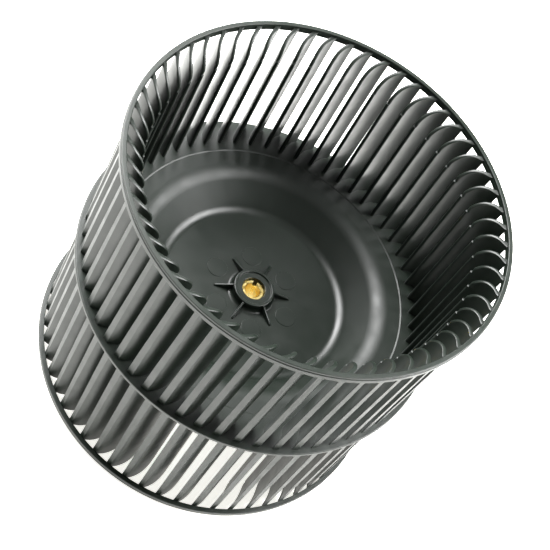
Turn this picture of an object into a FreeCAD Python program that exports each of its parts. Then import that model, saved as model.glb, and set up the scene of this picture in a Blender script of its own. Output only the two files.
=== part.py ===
"""Double-inlet blower wheel: two blade cages back to back on one dished centre web."""
import FreeCAD
import Part
import math
import os
import Sketcher
from FreeCAD import Placement, Rotation, Vector

# Driving dimensions: name, number (millimetres, degrees or a count) and meaning.
DIMENSIONS = [
    ("wheel_diameter", 152.4, "over the end rings and the rim of the web"),
    ("wheel_height", 134.2, "over the two end rings"),
    ("ring_height", 3.2, "end ring, along the axis"),
    ("ring_wall", 2.1, "end ring, radially"),
    ("ring_step", 0.25, "step in the ring at its mould parting line"),
    ("ring_lip", 1.2, "height of the stepped-in part"),
    ("ring_round", 0.25, "round on the ring's end face"),
    ("rim_thickness", 1.8, "flat annulus that the blades stand on"),
    ("rim_inner_radius", 61.0, "where the rim meets the dished web"),
    ("rim_round", 0.4, "round on the rim's outer edges"),
    ("web_thickness", 1.5, "dished web and hub plate"),
    ("shoulder_radius", 51.3, "corner where the web turns down"),
    ("shoulder_bend", 10.5, "bend on that corner"),
    ("wall_angle", 46.0, "slope of the web's wall"),
    ("dish_depth", 12.6, "web's flat to the hub plate, top faces"),
    ("foot_bend", 8.0, "bend at the foot of the wall"),
    ("plate_radius", 34.0, "flat hub plate"),
    ("boss_radius", 8.8, "outside of the hub boss"),
    ("boss_rise", 3.8, "boss above the plate"),
    ("boss_drop", 15.0, "boss below the plate's top face"),
    ("boss_root", 12.4, "root flange of the boss, in the plate"),
    ("boss_fillet", 3.0, "fillet between the boss and its root"),
    ("boss_under_fillet", 2.0, "the same on the underside"),
    ("lip_width", 1.35, "raised lip round the boss's mouth"),
    ("lip_depth", 0.7, "recess inside the lip"),
    ("lip_round", 0.3, "round on the lip"),
    ("insert_radius", 4.95, "brass insert"),
    ("insert_sink", 1.3, "insert below the floor of the recess"),
    ("insert_chamfer", 0.4, "chamfer at the mouths of the shaft bore"),
    ("groove_depth", 0.6, "retaining groove round the insert"),
    ("groove_width", 3.0, "retaining groove, along the axis"),
    ("bore_radius", 3.175, "shaft bore, for a quarter-inch shaft"),
    ("slot_width", 1.8, "slot across the insert's top face, for a cross pin"),
    ("slot_depth", 1.6, "depth of that slot"),
    ("slot_turn", 15.0, "angle of that slot round the axis"),
    ("rib_count", 6, "gusset ribs on each side of the hub plate"),
    ("rib_turn", 30.0, "first rib's angle round the axis"),
    ("rib_thickness", 1.4, "gusset rib"),
    ("rib_toe", 0.5, "height of a rib at its tip"),
    ("upper_rib_reach", 16.4, "tip of an upper rib, from the axis"),
    ("upper_rib_height", 3.3, "upper rib against the boss"),
    ("lower_rib_reach", 30.0, "tip of a lower rib, from the axis"),
    ("lower_rib_height", 10.0, "lower rib against the boss"),
    ("pad_radius", 4.4, "ejector pads on the hub plate"),
    ("pad_circle", 17.2, "circle of the ejector pads"),
    ("pad_height", 0.2, "ejector pads above the plate"),
    ("blade_count", 59, "blades in each cage"),
    ("nose_circle", 65.6, "centre of a blade's rounded inner edge"),
    ("web_nose_radius", 0.88, "that rounding at the web"),
    ("web_nose_turn", 3.35, "its angle round the axis, at the web"),
    ("web_back_turn", -0.2, "convex side's outer end, at the web"),
    ("web_face_turn", -3.0, "concave side's outer end, at the web"),
    ("ring_nose_radius", 0.69, "rounded inner edge at the ring"),
    ("ring_nose_turn", 5.2, "its angle round the axis, at the ring"),
    ("ring_back_turn", -0.1, "convex side's outer end, at the ring"),
    ("ring_face_turn", -2.25, "concave side's outer end, at the ring"),
    ("back_bend", 13.6, "bend of the convex side"),
    ("face_bend", 12.0, "bend of the concave side"),
    ("trim_allowance", 1.0, "blade outside the tip circle before trimming"),
    ("relief_start", 1.2, "blade's end below the ring's face, at the ring"),
    ("relief_radius", 65.3, "foot of the blade's rounded inner corner"),
    ("relief_depth", 9.4, "depth of that foot below the ring's face"),
    ("relief_bend", 11.5, "bend of the rounded inner corner"),
    ("notch_depth", 11.7, "step in the inner edge, below the ring's face"),
]
UP = 1
DOWN = -1

doc = FreeCAD.newDocument("blower_wheel")
sheet = doc.addObject("Spreadsheet::Sheet", "sizes")
for row, (alias, amount, meaning) in enumerate(DIMENSIONS, start=1):
    sheet.set(f"A{row}", meaning)
    sheet.set(f"B{row}", str(amount))
    sheet.setAlias(f"B{row}", alias)
doc.recompute()


class Size:
    """A number together with the expression that binds it to the sheet."""

    def __init__(self, text, value):
        self.text = text
        self.value = value

    def join(self, sign, other, value):
        return Size(f"({self.text} {sign} {other.text})", value)

    def __add__(self, other):
        other = as_size(other)
        return self.join("+", other, self.value + other.value)

    def __sub__(self, other):
        other = as_size(other)
        return self.join("-", other, self.value - other.value)

    def __mul__(self, other):
        other = as_size(other)
        return self.join("*", other, self.value * other.value)

    def __truediv__(self, other):
        other = as_size(other)
        return self.join("/", other, self.value / other.value)


def as_size(thing):
    return thing if isinstance(thing, Size) else Size(str(thing), thing)


def dim(alias):
    """A driving dimension from the sheet."""
    return Size(f"sizes.{alias}", float(sheet.get(alias)))


def trig(name, angle):
    return Size(f"{name}({angle.text})", getattr(math, name)(math.radians(angle.value)))


def polar(radius, turn):
    return radius * trig("cos", turn), radius * trig("sin", turn)


# Radii and levels that several sub-parts share. The wheel stands on z = 0.
HEIGHT = dim("wheel_height")
OUTER = dim("wheel_diameter") / 2
TIP = OUTER - dim("ring_wall")
RIM_TOP = (HEIGHT + dim("rim_thickness")) / 2
RIM_BOTTOM = (HEIGHT - dim("rim_thickness")) / 2
WEB_TOP = RIM_BOTTOM + dim("web_thickness")
PLATE_TOP = WEB_TOP - dim("dish_depth")
PLATE_BOTTOM = PLATE_TOP - dim("web_thickness")
BOSS = dim("boss_radius")
BOSS_TOP = PLATE_TOP + dim("boss_rise")
BOSS_BOTTOM = PLATE_TOP - dim("boss_drop")
RECESS_FLOOR = BOSS_TOP - dim("lip_depth")
INSERT_TOP = RECESS_FLOOR - dim("insert_sink")
INSERT_BOTTOM = BOSS_BOTTOM + dim("insert_sink")
GROOVE_LOW = (INSERT_TOP + INSERT_BOTTOM - dim("groove_width")) / 2
GROOVE_HIGH = GROOVE_LOW + dim("groove_width")
GROOVE_RADIUS = dim("insert_radius") - dim("groove_depth")


def new_body(label):
    body = doc.addObject("PartDesign::Body", label)
    body.Label = label
    body.AllowCompound = True
    return body


def plane(body, role):
    return next(item for item in body.Origin.OriginFeatures if item.Role == role)


def new_sketch(body, name, role, level=None):
    """A sketch on a plane of the body's origin, raised to a level where one is given."""
    sketch = body.newObject("Sketcher::SketchObject", name)
    sketch.AttachmentSupport = [(plane(body, role), "")]
    sketch.MapMode = "FlatFace"
    if level is not None:
        sketch.AttachmentOffset = Placement(Vector(0, 0, level.value), Rotation())
        sketch.setExpression("AttachmentOffset.Base.z", level.text)
    return sketch


def bind(sketch, kind, where, size):
    """One driving constraint, its value bound to the sheet."""
    index = sketch.addConstraint(Sketcher.Constraint(kind, *where, size.value))
    sketch.setExpression(f"Constraints[{index}]", size.text)


def place_point(sketch, edge, end, point):
    across, along = point
    bind(sketch, "DistanceX", (edge, end), across)
    bind(sketch, "DistanceY", (edge, end), along)


def bent_edge(start, end, bend):
    """An arc from start to end; a positive bend lies to the right of that direction."""
    ahead = end - start
    side = Vector(-ahead.y, ahead.x, 0).normalize()
    rise = math.sqrt(bend * bend - ahead.Length ** 2 / 4)
    turn = 1 if bend > 0 else -1
    centre = (start + end) / 2 + side * rise * turn
    middle = centre - side * abs(bend) * turn
    return Part.Arc(start, middle, end)


def outline(sketch, points, bends=None):
    """A closed outline through the points; bends gives some edges a signed radius."""
    bends = bends or {}
    places = [Vector(x.value, y.value, 0) for x, y in points]
    for index, start in enumerate(places):
        end = places[(index + 1) % len(places)]
        if index in bends:
            sketch.addGeometry(bent_edge(start, end, bends[index].value), False)
        else:
            sketch.addGeometry(Part.LineSegment(start, end), False)
    for index, point in enumerate(points):
        after = (index + 1) % len(points)
        # An arc drawn clockwise is stored the other way round, end first.
        leave = 2 if index not in bends or bends[index].value > 0 else 1
        arrive = 1 if after not in bends or bends[after].value > 0 else 2
        sketch.addConstraint(Sketcher.Constraint("Coincident", index, leave, after, arrive))
        begin = 1 if index not in bends or bends[index].value > 0 else 2
        place_point(sketch, index, begin, point)
        if index in bends:
            radius = bends[index] if bends[index].value > 0 else bends[index] * -1
            bind(sketch, "Radius", (index,), radius)


def revolve(body, name, points, bends=None, kind="Revolution"):
    """A profile in the XZ plane turned once round the wheel's axis."""
    sketch = new_sketch(body, f"{name}_profile", "XZ_Plane")
    outline(sketch, points, bends)
    feature = body.newObject(f"PartDesign::{kind}", name)
    feature.Profile = sketch
    feature.ReferenceAxis = (sketch, ["V_Axis"])
    feature.Angle = 360
    doc.recompute()
    return feature


def circles_at(base, corners):
    """The names of a turned piece's circular edges at the given radii and levels."""
    picked = []
    for index, edge in enumerate(base.Shape.Edges, start=1):
        if not isinstance(edge.Curve, Part.Circle):
            continue
        for across, level in corners:
            same_radius = abs(edge.Curve.Radius - across.value) < 0.01
            if same_radius and abs(edge.Curve.Center.z - level.value) < 0.01:
                picked.append(f"Edge{index}")
    return picked


def round_edges(body, name, base, corners, radius):
    """Rounds the circular edges of a turned piece that lie at the given corners."""
    fillet = body.newObject("PartDesign::Fillet", name)
    fillet.Base = (base, circles_at(base, corners))
    fillet.Radius = radius.value
    fillet.setExpression("Radius", radius.text)
    doc.recompute()
    return fillet


def chamfer_edges(body, name, base, corners, width):
    chamfer = body.newObject("PartDesign::Chamfer", name)
    chamfer.Base = (base, circles_at(base, corners))
    chamfer.Size = width.value
    chamfer.setExpression("Size", width.text)
    doc.recompute()
    return chamfer


def turned(label, points):
    body = new_body(label)
    return body, revolve(body, f"{label}_turned", points)


def from_face(side, depth):
    """The level of something a given depth inside the wheel's upper or lower face."""
    return HEIGHT - depth if side == UP else as_size(0) + depth


def end_ring(label, side):
    face = from_face(side, as_size(0))
    step = from_face(side, dim("ring_lip"))
    back = from_face(side, dim("ring_height"))
    inner_lip = OUTER - dim("ring_step")
    points = [(TIP, back), (OUTER, back), (OUTER, step),
              (inner_lip, step), (inner_lip, face), (TIP, face)]
    body, ring = turned(label, points)
    round_edges(body, f"{label}_round", ring, [(inner_lip, face), (TIP, face), (OUTER, back)],
                dim("ring_round"))
    return body


def web_rim(label):
    inner = dim("rim_inner_radius")
    body, rim = turned(label, [(inner, RIM_BOTTOM), (OUTER, RIM_BOTTOM),
                               (OUTER, RIM_TOP), (inner, RIM_TOP)])
    round_edges(body, f"{label}_round", rim, [(OUTER, RIM_TOP), (OUTER, RIM_BOTTOM)],
                dim("rim_round"))
    return body


def dished_web(label):
    """The conical part of the web, between the rim and the flat hub plate."""
    wall = dim("web_thickness")
    angle = dim("wall_angle")
    shoulder = dim("shoulder_radius")
    foot = shoulder - dim("dish_depth") / trig("tan", angle)
    shift = wall * trig("tan", angle / 2)
    rim = dim("rim_inner_radius")
    plate = dim("plate_radius")
    body, web = turned(label, [
        (rim, RIM_BOTTOM), (rim, WEB_TOP), (shoulder, WEB_TOP), (foot, PLATE_TOP),
        (plate, PLATE_TOP), (plate, PLATE_BOTTOM), (foot + shift, PLATE_BOTTOM),
        (shoulder + shift, RIM_BOTTOM)])
    bends = [
        ("shoulder_top", (shoulder, WEB_TOP), dim("shoulder_bend")),
        ("shoulder_under", (shoulder + shift, RIM_BOTTOM), dim("shoulder_bend") - wall),
        ("foot_top", (foot, PLATE_TOP), dim("foot_bend")),
        ("foot_under", (foot + shift, PLATE_BOTTOM), dim("foot_bend") + wall),
    ]
    for name, corner, radius in bends:
        web = round_edges(body, f"{label}_{name}", web, [corner], radius)
    return body


def hub_plate(label):
    root = dim("boss_root")
    edge = dim("plate_radius")
    body, plate = turned(label, [(root, PLATE_BOTTOM), (edge, PLATE_BOTTOM),
                                 (edge, PLATE_TOP), (root, PLATE_TOP)])
    sketch = new_sketch(body, "pad_outline", "XY_Plane", PLATE_TOP)
    circle = Part.Circle(Vector(dim("pad_circle").value, 0, 0), Vector(0, 0, 1),
                         dim("pad_radius").value)
    sketch.addGeometry(circle, False)
    place_point(sketch, 0, 3, (dim("pad_circle"), as_size(0)))
    bind(sketch, "Radius", (0,), dim("pad_radius"))
    pad = body.newObject("PartDesign::Pad", "ejector_pad")
    pad.Profile = sketch
    pad.Length = dim("pad_height").value
    pad.setExpression("Length", dim("pad_height").text)
    doc.recompute()
    ring_of_copies(body, "ejector_pads", pad, dim("rib_count"))
    return body


def ring_of_copies(body, name, original, count):
    """Equal copies of a feature all the way round the axis."""
    pattern = body.newObject("PartDesign::PolarPattern", name)
    pattern.Originals = [original]
    pattern.Axis = (plane(body, "Z_Axis"), [""])
    pattern.Angle = 360
    pattern.Occurrences = int(count.value)
    pattern.setExpression("Occurrences", count.text)
    body.Tip = pattern
    doc.recompute()
    return pattern


def hub_boss(label):
    bore = dim("insert_radius")
    root = dim("boss_root")
    lip = BOSS - dim("lip_width")
    body, boss = turned(label, [
        (bore, BOSS_BOTTOM), (BOSS, BOSS_BOTTOM), (BOSS, PLATE_BOTTOM),
        (root, PLATE_BOTTOM), (root, PLATE_TOP), (BOSS, PLATE_TOP), (BOSS, BOSS_TOP),
        (lip, BOSS_TOP), (lip, RECESS_FLOOR), (bore, RECESS_FLOOR),
        (bore, GROOVE_HIGH), (GROOVE_RADIUS, GROOVE_HIGH),
        (GROOVE_RADIUS, GROOVE_LOW), (bore, GROOVE_LOW)])
    boss = round_edges(body, "boss_foot", boss, [(BOSS, PLATE_TOP)], dim("boss_fillet"))
    boss = round_edges(body, "boss_foot_under", boss, [(BOSS, PLATE_BOTTOM)],
                       dim("boss_under_fillet"))
    round_edges(body, "boss_lip", boss, [(BOSS, BOSS_TOP), (lip, BOSS_TOP),
                                         (BOSS, BOSS_BOTTOM)], dim("lip_round"))
    return body


def shaft_insert(label):
    """The brass bush: a retaining groove outside, a plain bore, and a slot across its
    top face for a cross pin in the shaft."""
    outside = dim("insert_radius")
    bore = dim("bore_radius")
    body, blank = turned(label, [
        (bore, INSERT_BOTTOM), (outside, INSERT_BOTTOM), (outside, GROOVE_LOW),
        (GROOVE_RADIUS, GROOVE_LOW), (GROOVE_RADIUS, GROOVE_HIGH),
        (outside, GROOVE_HIGH), (outside, INSERT_TOP), (bore, INSERT_TOP)])
    mouths = [(bore, INSERT_TOP), (bore, INSERT_BOTTOM), (outside, INSERT_TOP)]
    chamfer_edges(body, "insert_mouths", blank, mouths, dim("insert_chamfer"))
    sketch = new_sketch(body, "slot_outline", "XZ_Plane")
    half = dim("slot_width") / 2
    above = INSERT_TOP + 1
    low = INSERT_TOP - dim("slot_depth")
    outline(sketch, [(as_size(0) - half, low), (half, low), (half, above),
                     (as_size(0) - half, above)])
    slot = body.newObject("PartDesign::Pocket", "cross_pin_slot")
    slot.Profile = sketch
    slot.SideType = "Symmetric"
    slot.Length = 4 * outside.value
    slot.setExpression("Length", (outside * 4).text)
    doc.recompute()
    body.Placement = Placement(Vector(), Rotation(Vector(0, 0, 1), dim("slot_turn").value))
    body.setExpression("Placement.Rotation.Angle", f"{dim('slot_turn').text} * 1 deg")
    doc.recompute()
    return body


def gusset_rib(label, order, side, boss):
    """One triangular rib between the boss and the hub plate, trimmed to the boss."""
    blank = new_body(f"{label}_blank")
    start = BOSS - dim("lip_width") / 2
    if side == UP:
        foot = PLATE_TOP
        crest = PLATE_TOP + dim("upper_rib_height")
        toe = PLATE_TOP + dim("rib_toe")
        reach = dim("upper_rib_reach")
    else:
        foot = PLATE_BOTTOM
        crest = PLATE_BOTTOM - dim("lower_rib_height")
        toe = PLATE_BOTTOM - dim("rib_toe")
        reach = dim("lower_rib_reach")
    sketch = new_sketch(blank, f"{label}_outline", "XZ_Plane")
    outline(sketch, [(start, foot), (reach, foot), (reach, toe), (BOSS, crest), (start, crest)])
    pad = blank.newObject("PartDesign::Pad", f"{label}_pad")
    pad.Profile = sketch
    pad.SideType = "Symmetric"
    pad.Length = dim("rib_thickness").value
    pad.setExpression("Length", dim("rib_thickness").text)
    turn = dim("rib_turn") + as_size(360) * order / dim("rib_count")
    blank.Placement = Placement(Vector(), Rotation(Vector(0, 0, 1), turn.value))
    blank.setExpression("Placement.Rotation.Angle", f"{turn.text} * 1 deg")
    rib = doc.addObject("Part::Cut", label)
    rib.Label = label
    rib.Base = blank
    rib.Tool = boss
    doc.recompute()
    return rib


def angle_of(point, centre):
    return math.atan2(point.y - centre.y, point.x - centre.x)


def meeting_centre(near, near_reach, far, far_reach):
    """The point at both distances, on the concave side of a blade."""
    gap = far - near
    along = (near_reach ** 2 - far_reach ** 2 + gap.Length ** 2) / (2 * gap.Length)
    across = math.sqrt(near_reach ** 2 - along ** 2)
    ahead = Vector(gap).normalize()
    side = Vector(-ahead.y, ahead.x, 0)
    return near + ahead * along + side * across


def blade_section(body, name, level, end):
    """A curved blade in plan: convex back, rounded nose, concave face, open outer end."""
    outside = TIP + dim("trim_allowance")
    back_end = polar(outside, dim(f"{end}_back_turn"))
    face_end = polar(outside, dim(f"{end}_face_turn"))
    nose_centre = polar(dim("nose_circle"), dim(f"{end}_nose_turn"))
    nose = dim(f"{end}_nose_radius")
    back = dim("back_bend")
    face = dim("face_bend")
    start, finish, centre = (Vector(x.value, y.value, 0)
                             for x, y in (back_end, face_end, nose_centre))
    back_centre = meeting_centre(start, back.value, centre, back.value - nose.value)
    face_centre = meeting_centre(finish, face.value, centre, face.value + nose.value)
    back_touch = centre + (centre - back_centre).normalize() * nose.value
    face_touch = centre + (face_centre - centre).normalize() * nose.value
    upright = Vector(0, 0, 1)
    sketch = new_sketch(body, name, "XY_Plane", level)
    first, last = angle_of(back_touch, centre), angle_of(face_touch, centre)
    if last < first:
        last += 2 * math.pi
    arcs = [
        (back_centre, back, angle_of(start, back_centre), angle_of(back_touch, back_centre)),
        (centre, nose, first, last),
        (face_centre, face, angle_of(finish, face_centre), angle_of(face_touch, face_centre)),
    ]
    for middle, radius, begin, stop in arcs:
        circle = Part.Circle(middle, upright, radius.value)
        sketch.addGeometry(Part.ArcOfCircle(circle, begin, stop), False)
    sketch.addGeometry(Part.LineSegment(finish, start), False)
    sketch.addConstraint(Sketcher.Constraint("Tangent", 0, 2, 1, 1))
    sketch.addConstraint(Sketcher.Constraint("Tangent", 1, 2, 2, 2))
    sketch.addConstraint(Sketcher.Constraint("Coincident", 2, 1, 3, 1))
    sketch.addConstraint(Sketcher.Constraint("Coincident", 3, 2, 0, 1))
    place_point(sketch, 0, 1, back_end)
    place_point(sketch, 2, 1, face_end)
    place_point(sketch, 1, 3, nose_centre)
    for index, (middle, radius, begin, stop) in enumerate(arcs):
        bind(sketch, "Radius", (index,), radius)
    return sketch


def blade_cage(label, side):
    """All the blades of one half, lofted from the rim to the end ring and trimmed."""
    body = new_body(label)
    base_level = RIM_TOP if side == UP else RIM_BOTTOM
    root = blade_section(body, f"{label}_root", base_level, "web")
    head = blade_section(body, f"{label}_head", from_face(side, as_size(0)), "ring")
    doc.recompute()
    blade = body.newObject("PartDesign::AdditiveLoft", f"{label}_blade")
    blade.Profile = root
    blade.Sections = [head]
    blade.Ruled = True
    doc.recompute()
    ring_of_copies(body, f"{label}_ring", blade, dim("blade_count"))
    foot = dim("relief_radius")
    inside = dim("nose_circle") - 4
    outside = OUTER + 2
    notch = from_face(side, dim("notch_depth"))
    clear = from_face(side, as_size(-1))
    under = base_level - side
    points = [
        (TIP, from_face(side, dim("relief_start"))), (foot, from_face(side, dim("relief_depth"))),
        (foot, notch), (inside, notch), (inside, clear), (outside, clear),
        (outside, under), (TIP, under)]
    bend = dim("relief_bend") * side
    revolve(body, f"{label}_trim", points, {0: bend}, "Groove")
    return body


def half_pitch(body):
    """Turns a cage by half the angle between two blades."""
    turn = as_size(180) / dim("blade_count")
    body.Placement = Placement(Vector(), Rotation(Vector(0, 0, 1), turn.value))
    body.setExpression("Placement.Rotation.Angle", f"{turn.text} * 1 deg")


boss_body = hub_boss("hub_boss")
pieces = [
    end_ring("upper_end_ring", UP),
    end_ring("lower_end_ring", DOWN),
    web_rim("web_rim"),
    dished_web("dished_web"),
    hub_plate("hub_plate"),
    boss_body,
    shaft_insert("shaft_insert"),
]
for rib_order in range(int(dim("rib_count").value)):
    pieces.append(gusset_rib(f"upper_rib_{rib_order + 1}", rib_order, UP, boss_body))
    pieces.append(gusset_rib(f"lower_rib_{rib_order + 1}", rib_order, DOWN, boss_body))
pieces.append(blade_cage("upper_blades", UP))
lower_cage = blade_cage("lower_blades", DOWN)
half_pitch(lower_cage)
pieces.append(lower_cage)
doc.recompute()

for item in doc.Objects:
    if "Invalid" in item.State or "Error" in item.State:
        raise RuntimeError(f"{item.Name} did not build: {item.State}")
os.makedirs("parts", exist_ok=True)
for piece in pieces:
    if piece.Shape.isNull() or not piece.Shape.isValid():
        raise RuntimeError(f"{piece.Label} has no valid shape")
    piece.Shape.exportStep(f"parts/{piece.Label}.step")
    box = piece.Shape.BoundBox
    print(f"{piece.Label}: {len(piece.Shape.Solids)} solids, {piece.Shape.Volume:.1f} mm3, "
          f"z {box.ZMin:.2f} to {box.ZMax:.2f}, x {box.XMin:.2f} to {box.XMax:.2f}")
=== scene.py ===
"""Looks for the blower motor wheel: black satin plastic moulding with a brass shaft insert."""

import math

import bmesh
import bpy
import numpy as np
from mathutils import Matrix, Vector


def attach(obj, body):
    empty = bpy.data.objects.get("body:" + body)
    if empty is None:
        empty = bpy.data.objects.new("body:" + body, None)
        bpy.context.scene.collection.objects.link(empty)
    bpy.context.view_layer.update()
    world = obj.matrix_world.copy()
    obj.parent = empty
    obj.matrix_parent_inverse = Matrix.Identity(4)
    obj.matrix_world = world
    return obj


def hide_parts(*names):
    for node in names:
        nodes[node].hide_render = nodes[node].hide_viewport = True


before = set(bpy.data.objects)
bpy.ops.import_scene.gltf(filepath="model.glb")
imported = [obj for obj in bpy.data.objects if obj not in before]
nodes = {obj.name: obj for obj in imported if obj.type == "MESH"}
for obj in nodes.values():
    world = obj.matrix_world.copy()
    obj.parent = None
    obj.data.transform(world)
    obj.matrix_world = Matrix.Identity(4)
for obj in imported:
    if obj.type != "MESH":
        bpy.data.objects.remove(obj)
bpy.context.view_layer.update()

scene = bpy.context.scene

# ---------------------------------------------------------------- camera
# Fitted to the ellipses of the wheel's rings in the photo, with the picture's centre taken
# as the lens's axis. Places in metres.
CAMERA_PLACE = Vector((0.00368, -0.30553, 0.47419))
CAMERA_RIGHT = Vector((0.8061, 0.4705, 0.3590))
CAMERA_BACK = Vector((0.0, -0.6066, 0.7950))
LENS_MM = 83.0
SENSOR_MM = 36.0


def make_camera():
    back = CAMERA_BACK.normalized()
    right = (CAMERA_RIGHT - back * CAMERA_RIGHT.dot(back)).normalized()
    up = back.cross(right)
    data = bpy.data.cameras.new("camera")
    data.lens = LENS_MM
    data.sensor_width = SENSOR_MM
    data.clip_start = 0.01
    data.clip_end = 20.0
    camera = bpy.data.objects.new("camera", data)
    turn = Matrix((right, up, back)).transposed().to_4x4()
    camera.matrix_world = Matrix.Translation(CAMERA_PLACE) @ turn
    scene.collection.objects.link(camera)
    scene.camera = camera


make_camera()


# ---------------------------------------------------------------- materials
def new_material(name, **sockets):
    material = bpy.data.materials.new(name)
    material.use_nodes = True
    shader = material.node_tree.nodes["Principled BSDF"]
    for key, value in sockets.items():
        shader.inputs[key.replace("_", " ")].default_value = value
    return material, material.node_tree, shader


def add(tree, kind, **settings):
    node = tree.nodes.new(kind)
    for key, value in settings.items():
        if key in node.inputs:
            node.inputs[key].default_value = value
        else:
            setattr(node, key, value)
    return node


def noise(tree, scale, detail=3.0, rough=0.5):
    place = add(tree, "ShaderNodeTexCoord")
    node = add(tree, "ShaderNodeTexNoise", Scale=scale, Detail=detail, Roughness=rough)
    tree.links.new(place.outputs["Object"], node.inputs["Vector"])
    return node


def spread(tree, source, low, high, start=0.3, stop=0.7):
    node = add(tree, "ShaderNodeMapRange")
    node.inputs["From Min"].default_value = start
    node.inputs["From Max"].default_value = stop
    node.inputs["To Min"].default_value = low
    node.inputs["To Max"].default_value = high
    tree.links.new(source, node.inputs["Value"])
    return node.outputs["Result"]


# Distances from the axis in metres, with the roughness factor before and after each.
HUB_ZONE, HUB_FACTORS = (0.039, 0.043), (0.84, 1.25)
RIM_ZONE, RIM_CHANGES = (0.061, 0.065), (0.0, -0.25)


def polish(tree):
    """A roughness factor that changes with the distance from the axis.

    The photo doesn't show these zones. They are an assumption that brings the brightness
    of the hub, the web and the blades closer to the photo's.
    """
    place = add(tree, "ShaderNodeTexCoord")
    flat = add(tree, "ShaderNodeVectorMath", operation="MULTIPLY")
    flat.inputs[1].default_value = (1, 1, 0)
    reach = add(tree, "ShaderNodeVectorMath", operation="LENGTH")
    tree.links.new(place.outputs["Object"], flat.inputs[0])
    tree.links.new(flat.outputs["Vector"], reach.inputs[0])
    hub = spread(tree, reach.outputs["Value"], *HUB_FACTORS, *HUB_ZONE)
    rim = spread(tree, reach.outputs["Value"], *RIM_CHANGES, *RIM_ZONE)
    total = add(tree, "ShaderNodeMath", operation="ADD")
    tree.links.new(hub, total.inputs[0])
    tree.links.new(rim, total.inputs[1])
    return total.outputs["Value"]


def tinted(tree, source, dark, light):
    """A colour that drifts between two shades with a noise value."""
    ramp = add(tree, "ShaderNodeValToRGB")
    for element, place, shade in zip(ramp.color_ramp.elements, (0.3, 0.7), (dark, light)):
        element.position = place
        element.color = (*shade, 1)
    tree.links.new(source, ramp.inputs["Fac"])
    return ramp.outputs["Color"]


PLASTIC_SHADES = (0.0065, 0.0105, 0.0072), (0.0095, 0.0142, 0.0102)
BRASS_SHADES = (0.84, 0.60, 0.16), (0.95, 0.80, 0.37)


def black_plastic():
    material, tree, shader = new_material("black_plastic", Specular_IOR_Level=0.5)
    link = tree.links.new
    broad = noise(tree, 45.0)
    link(tinted(tree, broad.outputs["Fac"], *PLASTIC_SHADES), shader.inputs["Base Color"])
    smear = noise(tree, 140.0, 4.0)
    rough = add(tree, "ShaderNodeMath", operation="MULTIPLY")
    link(spread(tree, smear.outputs["Fac"], 0.33, 0.43), rough.inputs[0])
    link(polish(tree), rough.inputs[1])
    link(rough.outputs["Value"], shader.inputs["Roughness"])
    grain = noise(tree, 2600.0, 2.0)
    bump = add(tree, "ShaderNodeBump", Strength=0.07, Distance=0.0001)
    link(grain.outputs["Fac"], bump.inputs["Height"])
    link(bump.outputs["Normal"], shader.inputs["Normal"])
    return material


def brass():
    material, tree, shader = new_material("brass_insert", Metallic=1.0)
    link = tree.links.new
    broad = noise(tree, 500.0)
    link(tinted(tree, broad.outputs["Fac"], *BRASS_SHADES), shader.inputs["Base Color"])
    link(spread(tree, broad.outputs["Fac"], 0.22, 0.36), shader.inputs["Roughness"])
    return material


PLASTIC = black_plastic()
BRASS = brass()


# ---------------------------------------------------------------- shapes
# All shape code works in millimetres round the wheel's axis; meshes are stored in metres.
MM = 0.001
SHARP_ANGLE = math.radians(50.0)
TURN_STEPS = 240
OUTER = 76.2
TIP = 74.1
HEIGHT = 134.2
RING_DEPTH = 3.2
RING_STEP_DEPTH = 1.2
RING_STEP = 0.25
RIM_TOP = 68.0
RIM_BOTTOM = 66.2
RIM_INNER = 61.0
RIM_STEP = 0.5
WEB_TOP = 67.7
SHOULDER = 51.3
SHOULDER_BEND = 10.5
FOOT_BEND = 8.0
WALL_SLOPE = math.radians(46.0)
PLATE_TOP = 55.1
PLATE_BOTTOM = 53.6
PLATE_EDGE = 34.0
BOSS = 8.8
BOSS_TOP = 58.9
BOSS_BOTTOM = 40.1
BOSS_ROOT = 12.4
BOSS_LIP = 1.35
RECESS_FLOOR = 58.2
INSERT = 4.95
INSERT_TOP = 56.9
INSERT_BOTTOM = 41.4
GROOVE_DEPTH = 0.6
GROOVE_WIDTH = 3.0
PAD_CIRCLE = 17.2
PAD_RADIUS = 4.4
PAD_RISE = 0.2
PAD_SINK = 0.4
PAD_PINHOLE = 0.05
RIB_COUNT = 6
RIB_FIRST = 30
RIB_TOE = 0.5
RIB_FOOT_HALF = 0.66
RIB_CREST_HALF = 0.4
RIB_SINK = 0.3
UP, DOWN = 1, -1
# The plate's face that a rib stands on, its rise at the boss and how far out it reaches.
RIB_SIZES = {UP: (PLATE_TOP, 3.3, 16.4), DOWN: (PLATE_BOTTOM, 10.0, 30.0)}


def rounded(points, steps=5):
    """A closed outline from (across, along, radius) corners, each rounded with an arc."""
    places = [np.array(p[:2], float) for p in points]
    result = []
    for index, corner in enumerate(places):
        before = places[index - 1] - corner
        after = places[(index + 1) % len(places)] - corner
        radius = points[index][2]
        if radius <= 0:
            result.append(corner)
            continue
        before_length, after_length = np.linalg.norm(before), np.linalg.norm(after)
        before, after = before / before_length, after / after_length
        half = math.acos(float(np.clip(before @ after, -1, 1))) / 2
        reach = min(radius / math.tan(half), before_length * 0.48, after_length * 0.48)
        radius = reach * math.tan(half)
        middle = before + after
        centre = corner + middle / np.linalg.norm(middle) * radius / math.sin(half)
        first = corner + before * reach - centre
        last = corner + after * reach - centre
        count = max(steps, int(radius * 2.5))
        sweep = math.pi - 2 * half
        for step in range(count + 1):
            part = step / count
            blend = (math.sin((1 - part) * sweep) * first + math.sin(part * sweep) * last)
            result.append(centre + blend / math.sin(sweep))
    return np.array(result)


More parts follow.
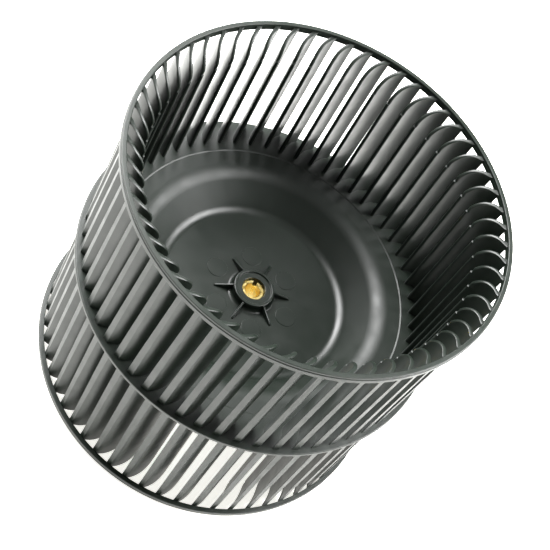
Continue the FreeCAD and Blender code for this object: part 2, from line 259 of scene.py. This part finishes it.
def make_piece(name, node, verts, faces, material, slot):
    """One visible piece in place of a CAD node."""
    mesh = bpy.data.meshes.new(name)
    mesh.from_pydata([tuple(v) for v in np.asarray(verts) * MM], [], faces)
    mesh.validate()
    build = bmesh.new()
    build.from_mesh(mesh)
    bmesh.ops.recalc_face_normals(build, faces=build.faces)
    build.to_mesh(mesh)
    build.free()
    mesh.shade_smooth()
    mesh.set_sharp_from_angle(angle=SHARP_ANGLE)
    mesh.materials.append(material)
    piece = bpy.data.objects.new(name, mesh)
    scene.collection.objects.link(piece)
    weighted = piece.modifiers.new("even_shading", "WEIGHTED_NORMAL")
    weighted.keep_sharp = True
    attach(piece, "root")
    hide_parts(node)
    return piece


def lathe(profile, steps=TURN_STEPS, centre=(0, 0)):
    """Vertices and faces of a closed profile turned once round an upright axis."""
    count = len(profile)
    angles = np.arange(steps) * 2 * math.pi / steps
    across, along = profile[:, 0], profile[:, 1]
    verts = np.empty((steps, count, 3))
    verts[:, :, 0] = centre[0] + np.outer(np.cos(angles), across)
    verts[:, :, 1] = centre[1] + np.outer(np.sin(angles), across)
    verts[:, :, 2] = along
    faces = []
    for turn in range(steps):
        here, there = turn * count, (turn + 1) % steps * count
        for index in range(count):
            after = (index + 1) % count
            faces.append((here + index, there + index, there + after, here + after))
    return verts.reshape(-1, 3), faces


def merged(parts):
    """Several (vertices, faces) pairs as one."""
    verts, faces, base = [], [], 0
    for some_verts, some_faces in parts:
        verts.append(some_verts)
        faces += [tuple(base + index for index in face) for face in some_faces]
        base += len(some_verts)
    return np.concatenate(verts), faces


def loft(loops):
    """A closed tube through equal loops of points, capped at both ends."""
    count = len(loops[0])
    faces = [tuple(range(count))]
    for level in range(len(loops) - 1):
        here, there = level * count, (level + 1) * count
        for index in range(count):
            after = (index + 1) % count
            faces.append((here + index, here + after, there + after, there + index))
    last = (len(loops) - 1) * count
    faces.append(tuple(last + index for index in reversed(range(count))))
    return np.concatenate(loops), faces


def turned_by(verts, angle):
    cos, sin = math.cos(angle), math.sin(angle)
    return verts @ np.array([[cos, sin, 0], [-sin, cos, 0], [0, 0, 1]])


def on_side(level, side):
    """A level for the upper half, or its mirror image in the lower half."""
    return level if side == UP else HEIGHT - level


def make_ring(name, node, side):
    """An end ring with a small step outside, next to the wheel's end face."""
    foot, step, lip = HEIGHT - RING_DEPTH, HEIGHT - RING_STEP_DEPTH, OUTER - RING_STEP
    profile = rounded([
        (TIP, foot, 0.2), (OUTER, foot, 0.3), (OUTER, step, 0.12),
        (lip, step, 0.1), (lip, HEIGHT, 0.3), (TIP, HEIGHT, 0.3)])
    profile[:, 1] = [on_side(level, side) for level in profile[:, 1]]
    make_piece(name, node, *lathe(profile), PLASTIC, "black_plastic")


def make_rim():
    corners = [
        (RIM_INNER, RIM_BOTTOM, 0), (OUTER, RIM_BOTTOM, 0.45), (OUTER, RIM_TOP, 0.45),
        (RIM_INNER + RIM_STEP, RIM_TOP, 0.4), (RIM_INNER, WEB_TOP, 0.0)]
    make_piece("web_rim_moulded", "web_rim", *lathe(rounded(corners)), PLASTIC,
               "black_plastic")


def make_web():
    """The dish between the rim and the hub plate."""
    wall = WEB_TOP - RIM_BOTTOM
    foot = SHOULDER - (WEB_TOP - PLATE_TOP) / math.tan(WALL_SLOPE)
    shift = wall * math.tan(WALL_SLOPE / 2)
    corners = [
        (RIM_INNER, RIM_BOTTOM, 0), (RIM_INNER, WEB_TOP, 0),
        (SHOULDER, WEB_TOP, SHOULDER_BEND), (foot, PLATE_TOP, FOOT_BEND),
        (PLATE_EDGE, PLATE_TOP, 0), (PLATE_EDGE, PLATE_BOTTOM, 0),
        (foot + shift, PLATE_BOTTOM, FOOT_BEND + wall),
        (SHOULDER + shift, RIM_BOTTOM, SHOULDER_BEND - wall)]
    make_piece("dished_web_moulded", "dished_web", *lathe(rounded(corners, 12)), PLASTIC,
               "black_plastic")


def make_plate():
    """The flat hub plate with a raised ejector pad between each pair of ribs."""
    parts = [lathe(np.array([
        (BOSS_ROOT, PLATE_BOTTOM), (PLATE_EDGE, PLATE_BOTTOM),
        (PLATE_EDGE, PLATE_TOP), (BOSS_ROOT, PLATE_TOP)]))]
    low, high = PLATE_TOP - PAD_SINK, PLATE_TOP + PAD_RISE
    pad = rounded([(PAD_PINHOLE, low, 0), (PAD_RADIUS, low, 0), (PAD_RADIUS, high, 0.14),
                   (PAD_PINHOLE, high, 0)])
    for order in range(RIB_COUNT):
        turn = order * 2 * math.pi / RIB_COUNT
        place = (PAD_CIRCLE * math.cos(turn), PAD_CIRCLE * math.sin(turn))
        parts.append(lathe(pad, 64, place))
    make_piece("hub_plate_moulded", "hub_plate", *merged(parts), PLASTIC, "black_plastic")


def make_boss():
    """The boss, with a key inside that fills the insert's retaining groove."""
    lip, groove = BOSS - BOSS_LIP, INSERT - GROOVE_DEPTH
    low = (INSERT_TOP + INSERT_BOTTOM) / 2 - GROOVE_WIDTH / 2
    high = low + GROOVE_WIDTH
    corners = [
        (INSERT, BOSS_BOTTOM, 0.2), (BOSS, BOSS_BOTTOM, 0.4), (BOSS, PLATE_BOTTOM, 2.0),
        (BOSS_ROOT, PLATE_BOTTOM, 0), (BOSS_ROOT, PLATE_TOP, 0), (BOSS, PLATE_TOP, 3.0),
        (BOSS, BOSS_TOP, 0.45), (lip, BOSS_TOP, 0.35), (lip, RECESS_FLOOR, 0.2),
        (INSERT, RECESS_FLOOR, 0.25), (INSERT, high, 0), (groove, high, 0),
        (groove, low, 0), (INSERT, low, 0)]
    make_piece("hub_boss_moulded", "hub_boss", *lathe(rounded(corners, 6), 120), PLASTIC,
               "black_plastic")


def make_rib(name, node, side, turn):
    """A gusset rib: thin, drafted towards its crest, with a rounded crest and toe."""
    foot, rise, reach = RIB_SIZES[side]
    crest, toe, base = foot + side * rise, foot + side * RIB_TOE, foot - side * RIB_SINK
    loops = []
    for across in np.linspace(BOSS - 2 * RIB_SINK, reach, 14):
        part = max(0.0, (across - BOSS) / (reach - BOSS))
        top = crest + (toe - crest) * part
        if reach - across < 0.4:
            top = toe + (foot - toe) * 0.6
        section = rounded([
            (-RIB_FOOT_HALF, base, 0), (RIB_FOOT_HALF, base, 0),
            (RIB_CREST_HALF, top, 0.34), (-RIB_CREST_HALF, top, 0.34)], 4)
        loops.append(np.column_stack([np.full(len(section), across), section]))
    verts, faces = loft(loops)
    make_piece(name, node, turned_by(verts, turn), faces, PLASTIC, "black_plastic")


# ---------------------------------------------------------------- blades
BLADE_COUNT = 59
PITCH = 2 * math.pi / BLADE_COUNT
BACK_BEND = 13.6
FACE_BEND = 12.0
NOSE_CIRCLE = 65.6
ALLOWANCE = 1.0
NOTCH_DEPTH = 11.7
# The relief is an arc beside the ring: distances from the axis, and depths below the end face.
RELIEF_CENTRE = (76.38, 12.47)
RELIEF_BEND = 11.5
RELIEF_FOOT = 9.4
RELIEF_START = 1.0
NOTCH_REACH = 65.4
# Values at the web and at the ring; angles in degrees round the axis.
NOSE_RADIUS = (0.88, 0.69)
NOSE_TURN = (3.35, 5.2)
BACK_TURN = (-0.2, -0.1)
FACE_TURN = (-3.0, -2.25)
BLADE_POINTS = 11
CAP_POINTS = 8
BLADE_SINK = 0.2
TIP_BEND = 0.16


def between(pair, part):
    return pair[0] + (pair[1] - pair[0]) * part


def polar(radius, degrees):
    angle = math.radians(degrees)
    return np.array([radius * math.cos(angle), radius * math.sin(angle)])


def meeting_centre(near, near_reach, far, far_reach):
    """The point at both distances, on the concave side of a blade."""
    gap = far - near
    length = np.linalg.norm(gap)
    along = (near_reach ** 2 - far_reach ** 2 + length ** 2) / (2 * length)
    side = math.sqrt(near_reach ** 2 - along ** 2)
    ahead = gap / length
    return near + ahead * along + side * np.array([-ahead[1], ahead[0]])


def arc_points(centre, start, end, count):
    first = math.atan2(*(start - centre)[::-1])
    last = math.atan2(*(end - centre)[::-1])
    if last - first > math.pi:
        last -= 2 * math.pi
    if first - last > math.pi:
        last += 2 * math.pi
    reach = np.linalg.norm(start - centre)
    turns = np.linspace(first, last, count)
    return centre + reach * np.column_stack([np.cos(turns), np.sin(turns)])


def cut_at(points, radius, from_outside):
    """A polyline cut where it crosses a circle round the axis, keeping one side."""
    reach = np.hypot(points[:, 0], points[:, 1])
    for index in range(len(points) - 1):
        a, b = reach[index], reach[index + 1]
        if (a - radius) * (b - radius) <= 0 and a != b:
            step = points[index + 1] - points[index]
            cross = points[index] + step * (a - radius) / (a - b)
            if from_outside:
                return np.vstack([cross, points[index + 1:]])
            return np.vstack([points[:index + 1], cross])
    return points


def resampled(points, count):
    steps = np.hypot(*np.diff(points, axis=0).T)
    along = np.concatenate([[0], np.cumsum(steps)])
    wanted = np.linspace(0, along[-1], count)
    return np.column_stack([np.interp(wanted, along, points[:, axis]) for axis in (0, 1)])


def blade_loop(level, inner):
    """A blade's plan section at a level; inner is how near the axis it may come, or None."""
    part = (level - RIM_TOP) / (HEIGHT - RIM_TOP)
    nose = between(NOSE_RADIUS, part)
    centre = polar(NOSE_CIRCLE, between(NOSE_TURN, part))
    back_end = polar(TIP + ALLOWANCE, between(BACK_TURN, part))
    face_end = polar(TIP + ALLOWANCE, between(FACE_TURN, part))
    back_centre = meeting_centre(back_end, BACK_BEND, centre, BACK_BEND - nose)
    face_centre = meeting_centre(face_end, FACE_BEND, centre, FACE_BEND + nose)
    back_touch = centre + (centre - back_centre) / np.linalg.norm(centre - back_centre) * nose
    face_touch = centre + (face_centre - centre) / np.linalg.norm(face_centre - centre) * nose
    back = cut_at(arc_points(back_centre, back_end, back_touch, 60), TIP, True)
    face = cut_at(arc_points(face_centre, face_end, face_touch, 60), TIP, True)
    if inner is not None:
        back_cut, face_cut = cut_at(back, inner, False)[-1], cut_at(face, inner, False)[-1]
        half = 0.5 * np.linalg.norm(back_cut - face_cut)
        limit = min(inner + half * 0.9, TIP - 0.15)
        back = cut_at(back, limit, False)
        face = cut_at(face, limit, False)
    back = resampled(back, BLADE_POINTS)
    face = resampled(face, BLADE_POINTS)
    middle = (back[-1] + face[-1]) / 2
    out = (back[-1] - face[-1]) / 2
    ahead = np.array([-out[1], out[0]])
    if ahead @ middle > 0:
        ahead = -ahead
    if inner is not None:
        ahead *= min(1.0, (limit - inner) / np.linalg.norm(ahead))
    turns = np.linspace(0, math.pi, CAP_POINTS + 2)[1:-1]
    cap = [middle + out * math.cos(turn) + ahead * math.sin(turn) for turn in turns]
    plan = np.vstack([back, cap, face[::-1]])
    corners = [(x, y, 0.0) for x, y in plan]
    corners[0] = (*plan[0], TIP_BEND)
    corners[-1] = (*plan[-1], TIP_BEND)
    plan = rounded(corners, 3)
    return np.column_stack([plan, np.full(len(plan), level)])


def blade_levels():
    """(level, inner radius) from the rim to the ring, with the notch and the relief curve."""
    levels = [(RIM_TOP - BLADE_SINK, None)]
    notch = HEIGHT - NOTCH_DEPTH
    levels += [(level, None) for level in np.linspace(RIM_TOP + 6, notch - 0.1, 5)]
    levels.append((notch + 0.05, NOTCH_REACH))
    start, stop = (math.asin((RELIEF_CENTRE[1] - depth) / RELIEF_BEND)
                   for depth in (RELIEF_FOOT, RELIEF_START))
    for turn in np.linspace(start, stop, 11):
        depth = RELIEF_CENTRE[1] - RELIEF_BEND * math.sin(turn)
        levels.append((HEIGHT - depth, RELIEF_CENTRE[0] - RELIEF_BEND * math.cos(turn)))
    return levels


def make_blades(name, node, side):
    loops = [blade_loop(level, inner) for level, inner in blade_levels()]
    verts, faces = loft(loops)
    verts[:, 2] = [on_side(level, side) for level in verts[:, 2]]
    offset = 0.0 if side == UP else PITCH / 2
    copies = [(turned_by(verts, offset + order * PITCH), faces)
              for order in range(BLADE_COUNT)]
    make_piece(name, node, *merged(copies), PLASTIC, "black_plastic")


# ---------------------------------------------------------------- all the pieces
make_ring("upper_ring_moulded", "upper_end_ring", UP)
make_ring("lower_ring_moulded", "lower_end_ring", DOWN)
make_rim()
make_web()
make_plate()
make_boss()
for rib_order in range(RIB_COUNT):
    rib_turn = math.radians(RIB_FIRST + 360 / RIB_COUNT * rib_order)
    rib_name = f"rib_{rib_order + 1}"
    make_rib(f"upper_{rib_name}_moulded", f"upper_{rib_name}", UP, rib_turn)
    make_rib(f"lower_{rib_name}_moulded", f"lower_{rib_name}", DOWN, rib_turn)
make_blades("upper_blades_moulded", "upper_blades", UP)
make_blades("lower_blades_moulded", "lower_blades", DOWN)

insert = nodes["shaft_insert"]
insert.data.materials.clear()
insert.data.materials.append(BRASS)


# ---------------------------------------------------------------- floor and light
FLOOR_HALF = 12.0
FLOOR_DROP = 0.0002
FLOOR_GLOW = 0.85
LEFT_PLACE, LEFT_SIZE, LEFT_POWER = (-0.63, 0.40, 0.78), (0.7, 0.7), 42
RIGHT_PLACE, RIGHT_SIZE, RIGHT_POWER = (0.75, 0.40, 0.75), (0.7, 0.7), 36
AIM = (0, 0, 0.07)
WORLD_FRONT, WORLD_REAR = 0.36, 0.30


def make_floor():
    """A pale floor that glows, so that it shows white like the photo's background."""
    half = FLOOR_HALF
    mesh = bpy.data.meshes.new("floor")
    corners = [(-half, -half, 0), (half, -half, 0), (half, half, 0), (-half, half, 0)]
    mesh.from_pydata(corners, [], [(0, 1, 2, 3)])
    floor = bpy.data.objects.new("floor", mesh)
    material, _, shader = new_material("floor", Roughness=0.7)
    shader.inputs["Base Color"].default_value = (0.86, 0.86, 0.84, 1)
    shader.inputs["Emission Color"].default_value = (1.0, 0.99, 0.93, 1)
    shader.inputs["Emission Strength"].default_value = FLOOR_GLOW
    mesh.materials.append(material)
    floor.location.z = -FLOOR_DROP
    scene.collection.objects.link(floor)


def soft_light(name, place, size, power):
    data = bpy.data.lights.new(name, "AREA")
    data.shape = "RECTANGLE"
    data.size, data.size_y = size
    data.energy = power
    light = bpy.data.objects.new(name, data)
    light.location = place
    light.rotation_euler = (Vector(AIM) - Vector(place)).to_track_quat("-Z", "Y").to_euler()
    scene.collection.objects.link(light)


def make_world():
    """Soft surroundings, a little brighter in front of the wheel than behind it."""
    world = bpy.data.worlds.new("studio")
    scene.world = world
    world.use_nodes = True
    tree = world.node_tree
    sky = tree.nodes["Background"]
    sky.inputs["Color"].default_value = (0.975, 1, 0.975, 1)
    place = add(tree, "ShaderNodeTexCoord")
    split = add(tree, "ShaderNodeSeparateXYZ")
    tree.links.new(place.outputs["Generated"], split.inputs["Vector"])
    level = spread(tree, split.outputs["Y"], WORLD_FRONT, WORLD_REAR, -0.6, 0.5)
    tree.links.new(level, sky.inputs["Strength"])


make_floor()
soft_light("left_softbox", LEFT_PLACE, LEFT_SIZE, LEFT_POWER)
soft_light("right_softbox", RIGHT_PLACE, RIGHT_SIZE, RIGHT_POWER)
make_world()
scene.view_settings.view_transform = "Standard"
